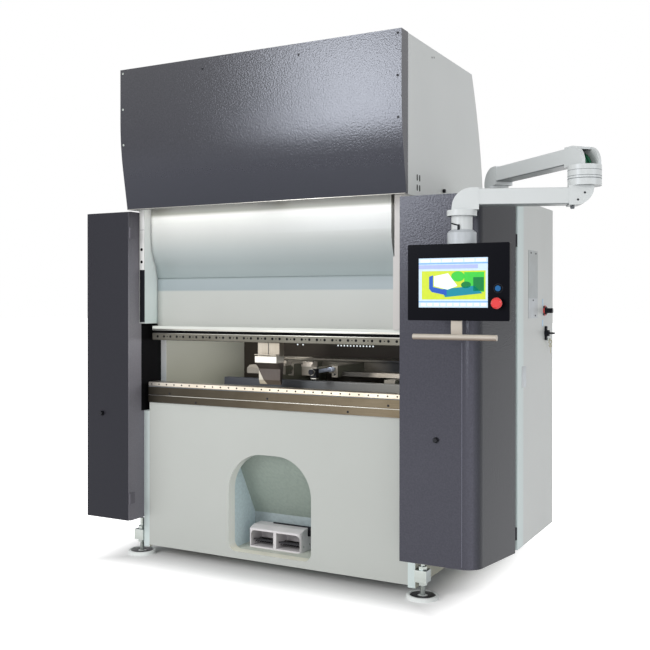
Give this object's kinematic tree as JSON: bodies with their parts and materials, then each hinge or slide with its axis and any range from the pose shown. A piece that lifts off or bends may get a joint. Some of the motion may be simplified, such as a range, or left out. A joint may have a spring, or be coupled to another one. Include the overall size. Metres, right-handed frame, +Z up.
{
  "type": "press brake",
  "caption": "Compact electric press brake: C-frames, moving ram with punch, die table, hood, side cabinets, foot pedal recess and a control panel on a jointed arm.",
  "frame": {"origin": "middle of the base of the whole machine's box, on the floor", "axes": "+X to the operator's right along the bed, +Y from the operator to the rear, +Z up"},
  "size_m": [2.807, 1.369, 2.653],
  "materials": {
    "white_paint": "satin powder coat",
    "dark_paint": "textured powder coat",
    "cover_paint": "semi-gloss powder coat",
    "steel": "ground steel",
    "machine_grey": "satin",
    "gauge_metal": "machined",
    "pad_metal": "zinc plated",
    "arm_paint": "satin powder coat",
    "black_plastic": "matt",
    "pedal_plastic": "satin",
    "screen_glass": "gloss, lit",
    "handle_paint": "satin",
    "lamp_white": "diffuser",
    "plate_metal": "satin",
    "red_plastic": "gloss",
    "blue_plastic": "gloss"
  },
  "bodies": {
    "frame": {"c_frame_left": "white_paint", "c_frame_right": "white_paint", "bed_front_plate": "white_paint", "bed_core": "white_paint", "table_rail": "steel", "die_rail": "steel", "pedal_recess": "white_paint", "pedal_housing": "pedal_plastic", "pedal_bar": "black_plastic", "foot_pads": "pad_metal", "foot_brackets": "white_paint", "rear_panel": "dark_paint", "hood_front_cover": "dark_paint", "hood_lamps": "lamp_white", "hood_sides": "white_paint", "hood_roof": "white_paint", "jaw_strip_pale": "white_paint", "jaw_strip_dark": "black_plastic", "left_cabinet": "dark_paint", "right_cabinet": "dark_paint", "right_cover": "dark_paint", "right_latch": "black_plastic", "side_enclosure": "white_paint", "door_hinges": "black_plastic", "table_support": "machine_grey", "cross_beam": "machine_grey", "gauge_rails": "machine_grey", "arm_pedestal": "arm_paint"},
    "ram": {"ram_beam": "steel", "ram_cover": "cover_paint", "ram_ledge": "white_paint", "ram_post": "white_paint", "clamp_rail": "steel", "punch": "steel"},
    "backgauge": {"gauge_beam": "machine_grey", "gauge_arms": "machine_grey", "gauge_guide": "gauge_metal", "gauge_carriers": "machine_grey", "gauge_fingers": "gauge_metal"},
    "upper_arm": {"upper_arm_tube": "arm_paint", "upper_arm_brackets": "arm_paint"},
    "lower_arm": {"lower_arm_tube": "arm_paint", "lower_arm_brackets": "arm_paint"},
    "control_panel": {"panel_coupling": "arm_paint", "panel_housing": "black_plastic", "panel_screen": "screen_glass", "panel_handle": "handle_paint"},
    "stop_button": {"stop_button": "red_plastic"},
    "blue_button": {"blue_button": "blue_plastic"},
    "left_door": {"left_door": "dark_paint", "left_latch": "black_plastic"},
    "side_door": {"side_door": "white_paint", "side_plate": "plate_metal", "selector_switch": "red_plastic"},
    "main_switch": {"main_switch": "black_plastic"},
    "pedal_left": {"pedal_left": "black_plastic"},
    "pedal_right": {"pedal_right": "black_plastic"}
  },
  "joints": [
    {"name": "ram_slide", "type": "slide", "parent": "frame", "child": "ram", "axis": [0, 0, 1], "range_m": [-0.006, 0.15]},
    {"name": "backgauge_slide", "type": "slide", "parent": "frame", "child": "backgauge", "axis": [0, 1, 0], "range_m": [-0.1, 0.2]},
    {"name": "arm_base_swivel", "type": "hinge", "parent": "frame", "child": "upper_arm", "pos_m": [0.8015, 0.0615, 1.962], "axis": [0, 0, 1], "range_deg": [-8, 75]},
    {"name": "arm_elbow_swivel", "type": "hinge", "parent": "upper_arm", "child": "lower_arm", "pos_m": [1.3335, -0.4105, 1.924], "axis": [0, 0, 1], "range_deg": [-4, 100]},
    {"name": "panel_swivel", "type": "hinge", "parent": "lower_arm", "child": "control_panel", "pos_m": [0.8565, -0.5955, 1.712], "axis": [0, 0, -1], "range_deg": [-25, 25]},
    {"name": "stop_button_push", "type": "slide", "parent": "control_panel", "child": "stop_button", "axis": [0, 1, 0], "range_m": [0, 0.005]},
    {"name": "blue_button_push", "type": "slide", "parent": "control_panel", "child": "blue_button", "axis": [0, 1, 0], "range_m": [0, 0.003], "stiffness_N_per_m": 400, "springref_m": -0.001},
    {"name": "left_door_hinge", "type": "hinge", "parent": "frame", "child": "left_door", "pos_m": [-1.1015, -0.428, 0.33], "axis": [0, 0, 1], "range_deg": [0, 100]},
    {"name": "side_door_hinge", "type": "hinge", "parent": "frame", "child": "side_door", "pos_m": [0.9225, -0.0165, 0.29], "axis": [0, 0, -1], "range_deg": [0, 95]},
    {"name": "main_switch_turn", "type": "hinge", "parent": "side_door", "child": "main_switch", "pos_m": [0.9288, 0.4945, 1.241], "axis": [1, 0, 0], "range_deg": [0, 90]},
    {"name": "pedal_left_press", "type": "hinge", "parent": "frame", "child": "pedal_left", "pos_m": [-0.406, -0.0845, 0.114], "axis": [1, 0, 0], "range_deg": [0, 10], "stiffness_Nm_per_rad": 20, "springref_deg": -4.98},
    {"name": "pedal_right_press", "type": "hinge", "parent": "frame", "child": "pedal_right", "pos_m": [-0.249, -0.0845, 0.114], "axis": [1, 0, 0], "range_deg": [0, 10], "stiffness_Nm_per_rad": 20, "springref_deg": -4.98}
  ]
}
